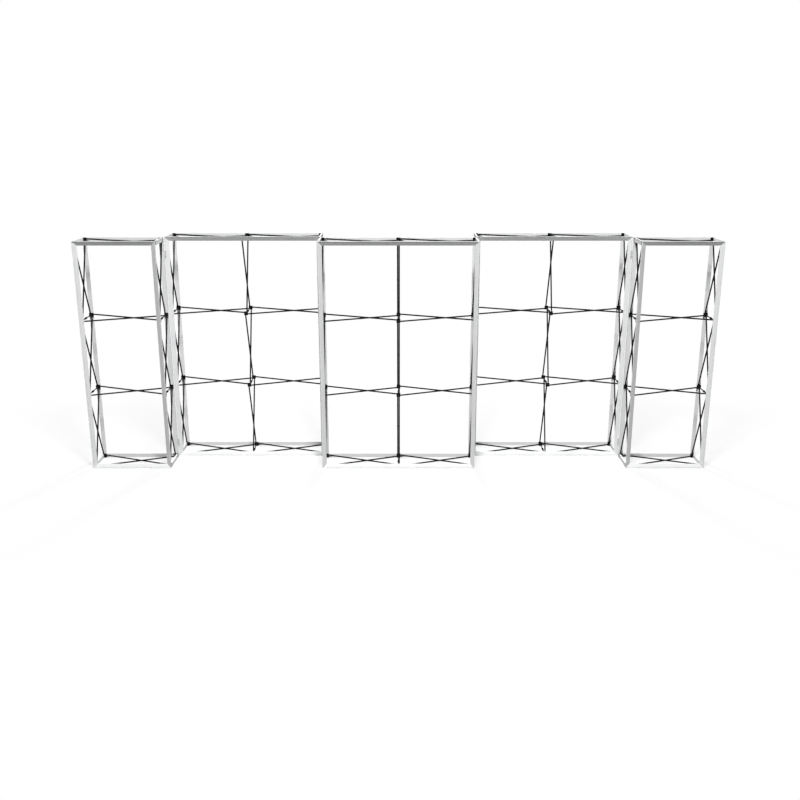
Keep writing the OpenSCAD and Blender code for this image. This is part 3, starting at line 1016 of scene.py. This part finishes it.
def tip_template():
    """Moulded tip at the start of a pole along +X: a tang with a round end, and a collar on the tube."""
    pole = bpy.context.scene.wall_poles
    start = pole.tube_start
    low = (-pole.tang_radius, -pole.tang_radius, -pole.tang / 2)
    high = (start - 0.0005, pole.tang_radius, pole.tang / 2)
    tang = round_tab("tang", low, high, pole.tang_radius, end=0)
    into_tube, longest_rim_edge = 0.002, 0.0025
    collar = new_rod(
        "collar", pole.radius, (start - pole.collar, 0, 0), (start + into_tube, 0, 0), sides=pole.sides
    )
    round_edges(
        collar,
        lambda a, b: max(a.x, b.x) < start and (a - b).length < longest_rim_edge,
        radius=0.0005,
        segments=1,
    )
    return join([tang, collar], "tip_template")


def pole_template():
    """A pole along +X from pivot to pivot: a tube crimped on a tip at each end."""
    pole = bpy.context.scene.wall_poles
    length = pole_span()[0]
    start = pole.tube_start
    tube = new_rod("pole_template", pole.radius, (start, 0, 0), (length - start, 0, 0), sides=pole.sides)
    crimps = [start + 0.006, start + 0.0125]
    crimps += [length - crimp for crimp in crimps]
    press_rings(tube, axis=0, places=crimps, width=0.0012, keep=1 - pole.crimp_depth / pole.radius)
    dress(tube, "black_tube", smooth=40)
    near_tip = tip_template()
    dress(near_tip, "hub_nylon", smooth=40)
    far_tip = lay_out("far_tip", [(near_tip, Matrix.Translation((length, 0, 0)) @ FLIP_X)])
    whole = join([tube, near_tip, far_tip], "pole_template")
    run_grain(whole)
    return whole


def rivet_template():
    """The rivet through a pole and the one that crosses it on its -Z side, with a domed head at each end."""
    pole = bpy.context.scene.wall_poles
    head_gap, dome_share = 0.00004, 0.8
    rise = Vector((0, 0, pole.offset + pole.radius + head_gap))
    middle = Vector((pole_span()[0] / 2, 0, -pole.offset))
    shank = new_rod("rivet_template", pole.rivet, middle - rise, middle + rise, sides=12)
    heads = []
    for way in (1, -1):
        root = middle + way * rise
        top = root + Vector((0, 0, way * pole.rivet_rise))
        head = new_rod("head", pole.rivet_head, root, top, sides=16)
        half_way = root.z * way + pole.rivet_rise / 2
        round_edges(
            head,
            lambda a, b: min(a.z * way, b.z * way) > half_way,
            pole.rivet_rise * dome_share,
            segments=2,
        )
        heads.append(head)
    rivet = join([shank, *heads], "rivet_template")
    dress(rivet, "turned_steel", smooth=50)
    run_grain(rivet)
    return rivet


def pole_place(wall_frame, c, k, forwards, upright):
    """Place of a pole to the next column, or to the next level if it is upright. forwards is 1 or 0."""
    offset = bpy.context.scene.wall_poles.offset
    pivot_in = bpy.context.scene.wall_hubs.pivot_in
    way = 1 if forwards else -1
    lean = way * pole_span()[1]
    if upright:
        step = Vector((-way * offset, 0, pivot_in))
        turn = Matrix.Rotation(lean, 4, "X") @ Matrix.Rotation(-math.pi / 2, 4, "Y")
    else:
        step = Vector((pivot_in, 0, way * offset))
        turn = Matrix.Rotation(-lean, 4, "Z")
    return Matrix.Translation(wall_frame.hub(1 - forwards, c, k) + step) @ turn


def pole_places(wall_frame):
    """Name and place of every pole of a frame, with whether it goes forwards."""
    places = []
    for forwards in (0, 1):
        for k in range(BAYS_UP + 1):
            for c in range(wall_frame.bays):
                name = f"cross_pole_{k + 1}_to_{SIDES[forwards]}"
                places.append((name, forwards, pole_place(wall_frame, c, k, forwards, upright=False)))
        for k in range(BAYS_UP):
            for c in range(wall_frame.bays + 1):
                name = f"upright_pole_{COLUMNS[min(c, 1)]}_{k + 1}_to_{SIDES[forwards]}"
                places.append((name, forwards, pole_place(wall_frame, c, k, forwards, upright=True)))
    return places


class WALL_OT_poles(bpy.types.Operator):
    """Model the crossing poles and the rivets that join them"""

    bl_idname = "wall.poles"
    bl_label = "Poles and rivets"

    def execute(self, context):
        pole = pole_template()
        rivet = rivet_template()
        rivets = []
        for wall_frame in FRAMES[:-1]:
            places = pole_places(wall_frame)
            placed = [(pole, place) for name, forwards, place in places]
            stand_in(f"frame{wall_frame.number}_poles", "drawn", placed)
            rivets += [(rivet, place) for name, forwards, place in places if forwards]
        stand_in("wall_crossing_rivets", "set", rivets)
        for name, forwards, place in pole_places(FOLDING_FRAME):
            node = f"frame5_{name}"
            placed = [(pole, place), (rivet, place)] if forwards else [(pole, place)]
            stand_in(node, "drawn", placed, node)
        put_away(pole, rivet)
        return {"FINISHED"}


class WALL_OT_link_clips(bpy.types.Operator):
    """Finish the link clips between the frames"""

    bl_idname = "wall.link_clips"
    bl_label = "Link clips"

    def execute(self, context):
        dress(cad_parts["link_clips"], "clip_nylon")
        return {"FINISHED"}


# Stage

# How brightly the lamps and the sky light a white floor near the wall
FLOOR_LIGHT = 1.5
# Where the floor starts and ends its fade to white, in near half widths, and how much sooner in depth
FADE_START, FADE_END, FADE_IN_DEPTH = 0.7, 1.5, 1.6
FLOOR_SIZE = 120
WHITE = (1, 1, 1, 1)


def split_by_ray(nodes, lit, seen, output):
    """Gives rays that show the background one shader, and the rays that carry light another."""
    path = nodes.add("LightPath", {}).outputs
    shows = path["Is Camera Ray"]
    for name in ("Is Glossy Ray", "Is Transmission Ray"):
        shows = nodes.combine(shows, path[name], "MAXIMUM")
    mix = nodes.add("MixShader", {"Fac": shows, 1: lit, 2: seen})
    nodes.feed(nodes.tree.nodes[output].inputs["Surface"], mix.outputs["Shader"])


def pale_floor_material(grey, bounce, near):
    """Pale floor with the wall's soft shadow near it, which fades to the white background further off."""
    floor = Finish("pale_floor", (grey, grey, grey), metallic=0.0, roughness=0.9, specular=0.0)
    scale = (1 / near, FADE_IN_DEPTH / near, 1)
    shrink = floor.add("Mapping", {"Vector": floor.places.outputs["Object"], "Scale": scale})
    distance = floor.add("VectorMath", {0: shrink.outputs["Vector"]}, operation="LENGTH")
    fade = floor.add(
        "MapRange",
        {"Value": distance.outputs["Value"], "From Min": FADE_START, "From Max": FADE_END},
        interpolation_type="SMOOTHSTEP",
    )
    lift = floor.add("Emission", {"Strength": 1 - grey * FLOOR_LIGHT})
    near_floor = floor.add("AddShader", {0: floor.shader.outputs["BSDF"], 1: lift.outputs["Emission"]})
    white = floor.add("Emission", {"Color": WHITE})
    seen = floor.add(
        "MixShader",
        {"Fac": fade.outputs["Result"], 1: near_floor.outputs["Shader"], 2: white.outputs["Emission"]},
    )
    dull = floor.add("BsdfDiffuse", {"Color": (bounce, bounce, bounce, 1)})
    split_by_ray(floor, dull.outputs["BSDF"], seen.outputs["Shader"], "Material Output")
    return floor.material


def white_world(sky):
    """A world that shows white, and lights the wall softly from all round."""
    world = bpy.data.worlds.new("white_studio")
    bpy.context.scene.world = world
    world.use_nodes = True
    nodes = NodeMaker(world.node_tree)
    soft = nodes.tree.nodes["Background"]
    nodes.feed(soft.inputs["Color"], WHITE)
    nodes.feed(soft.inputs["Strength"], sky)
    white = nodes.add("Background", {"Color": WHITE, "Strength": 1.0})
    split_by_ray(nodes, soft.outputs["Background"], white.outputs["Background"], "World Output")


def studio_lamp(name, place, target, size, power):
    """A square lamp. Its light keeps its strength with distance, as from a bank of far lamps."""
    deselect_all()
    bpy.ops.object.light_add(type="AREA", location=place)
    lamp = bpy.context.object
    lamp.name = name
    aim = Vector(target) - Vector(place)
    lamp.rotation_euler = aim.to_track_quat("-Z", "Y").to_euler()
    lamp.data.size = size
    lamp.data.energy = power
    lamp.data.use_nodes = True
    nodes = NodeMaker(lamp.data.node_tree)
    even = nodes.add("LightFalloff", {"Strength": 1 / aim.length_squared})
    nodes.feed(nodes.tree.nodes["Emission"].inputs["Strength"], even.outputs["Constant"])
    return lamp


class WALL_OT_stage(bpy.types.Operator):
    """Set up the pale floor, the soft light and the camera"""

    bl_idname = "wall.stage"
    bl_label = "Stage"

    def execute(self, context):
        stage = context.scene.wall_stage
        deselect_all()
        bpy.ops.mesh.primitive_plane_add(size=FLOOR_SIZE)
        floor = settle("floor")
        floor.data.materials.append(pale_floor_material(stage.floor_grey, stage.floor_bounce, stage.near))
        white_world(stage.sky)
        middle = (0, 0, WALL_HEIGHT / 2)
        front = (0, -stage.key_front, stage.key_height)
        behind = (0, stage.back_behind, stage.back_height)
        studio_lamp("key_light", front, middle, stage.lamp_size, stage.key_power)
        fill = studio_lamp("back_light", behind, middle, stage.lamp_size, stage.back_power)
        fill.visible_glossy = False
        place = (stage.camera_side, -stage.camera_back, stage.camera_height)
        deselect_all()
        bpy.ops.object.camera_add(location=place, rotation=(math.pi / 2 - stage.camera_pitch, 0, 0))
        camera = context.object
        camera.name = "camera"
        camera.data.sensor_width = 36
        camera.data.lens = stage.lens
        camera.data.clip_end = 200
        context.scene.camera = camera
        context.scene.view_settings.view_transform = "Standard"
        return {"FINISHED"}


class WALL_PT_panel(bpy.types.Panel):
    """Lists the steps that build the display wall"""

    bl_idname = "WALL_PT_panel"
    bl_label = "Display Wall"
    bl_space_type = "VIEW_3D"
    bl_region_type = "UI"
    bl_category = "Display Wall"

    def draw(self, context):
        for step in STEPS:
            self.layout.operator(step.bl_idname)
        for group, place in SETTINGS.items():
            box = self.layout.box()
            box.label(text=group.__name__)
            for name in group.__annotations__:
                box.prop(getattr(context.scene, place), name)


SETTINGS = {
    ChannelSettings: "wall_channels",
    HubSettings: "wall_hubs",
    PoleSettings: "wall_poles",
    StrutSettings: "wall_struts",
    FinishSettings: "wall_finishes",
    StageSettings: "wall_stage",
}
STEPS = (
    WALL_OT_stage,
    WALL_OT_channels,
    WALL_OT_side_bars,
    WALL_OT_lock_struts,
    WALL_OT_hubs,
    WALL_OT_poles,
    WALL_OT_link_clips,
)


def register():
    for group, name in SETTINGS.items():
        bpy.utils.register_class(group)
        setattr(bpy.types.Scene, name, PointerProperty(type=group))
    for item in (*STEPS, WALL_PT_panel):
        bpy.utils.register_class(item)


def unregister():
    for item in (WALL_PT_panel, *reversed(STEPS)):
        bpy.utils.unregister_class(item)
    for group, name in SETTINGS.items():
        delattr(bpy.types.Scene, name)
        bpy.utils.unregister_class(group)


def main():
    register()
    bpy.ops.wall.stage()
    bpy.ops.wall.channels()
    bpy.ops.wall.side_bars()
    bpy.ops.wall.lock_struts()
    bpy.ops.wall.hubs()
    bpy.ops.wall.poles()
    bpy.ops.wall.link_clips()


if __name__ == "__main__":
    main()
